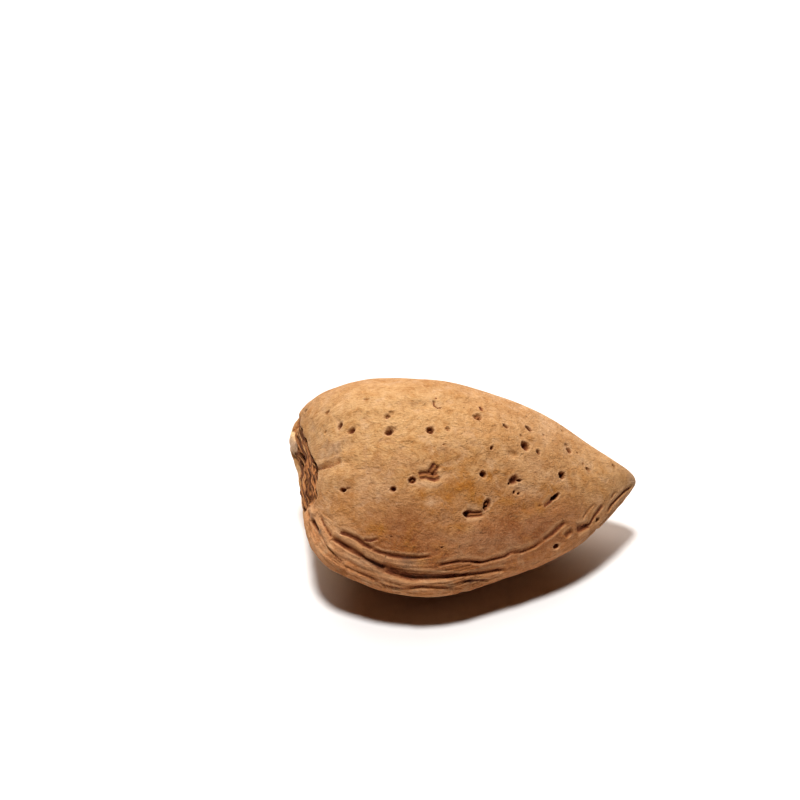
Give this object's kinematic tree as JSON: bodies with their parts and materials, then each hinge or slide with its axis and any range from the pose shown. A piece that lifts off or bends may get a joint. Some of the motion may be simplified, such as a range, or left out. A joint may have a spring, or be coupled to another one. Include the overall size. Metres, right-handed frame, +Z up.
{
  "type": "almond in its shell",
  "caption": "Whole almond in its shell: a woody teardrop with small pits, a furrowed keel along one edge and a fibrous stem scar, lying on one cheek.",
  "frame": {"origin": "on the floor, under the middle of the nut's box", "axes": "+X along the nut toward its tip, -Y toward the keel, +Z up from the flat spot it rests on"},
  "size_m": [0.0364, 0.0236, 0.0185],
  "materials": {
    "shell": "matt tan shell with fine fibres, darker in the pits and furrows"
  },
  "bodies": {
    "root": {"almond_shell": "shell"}
  },
  "joints": []
}
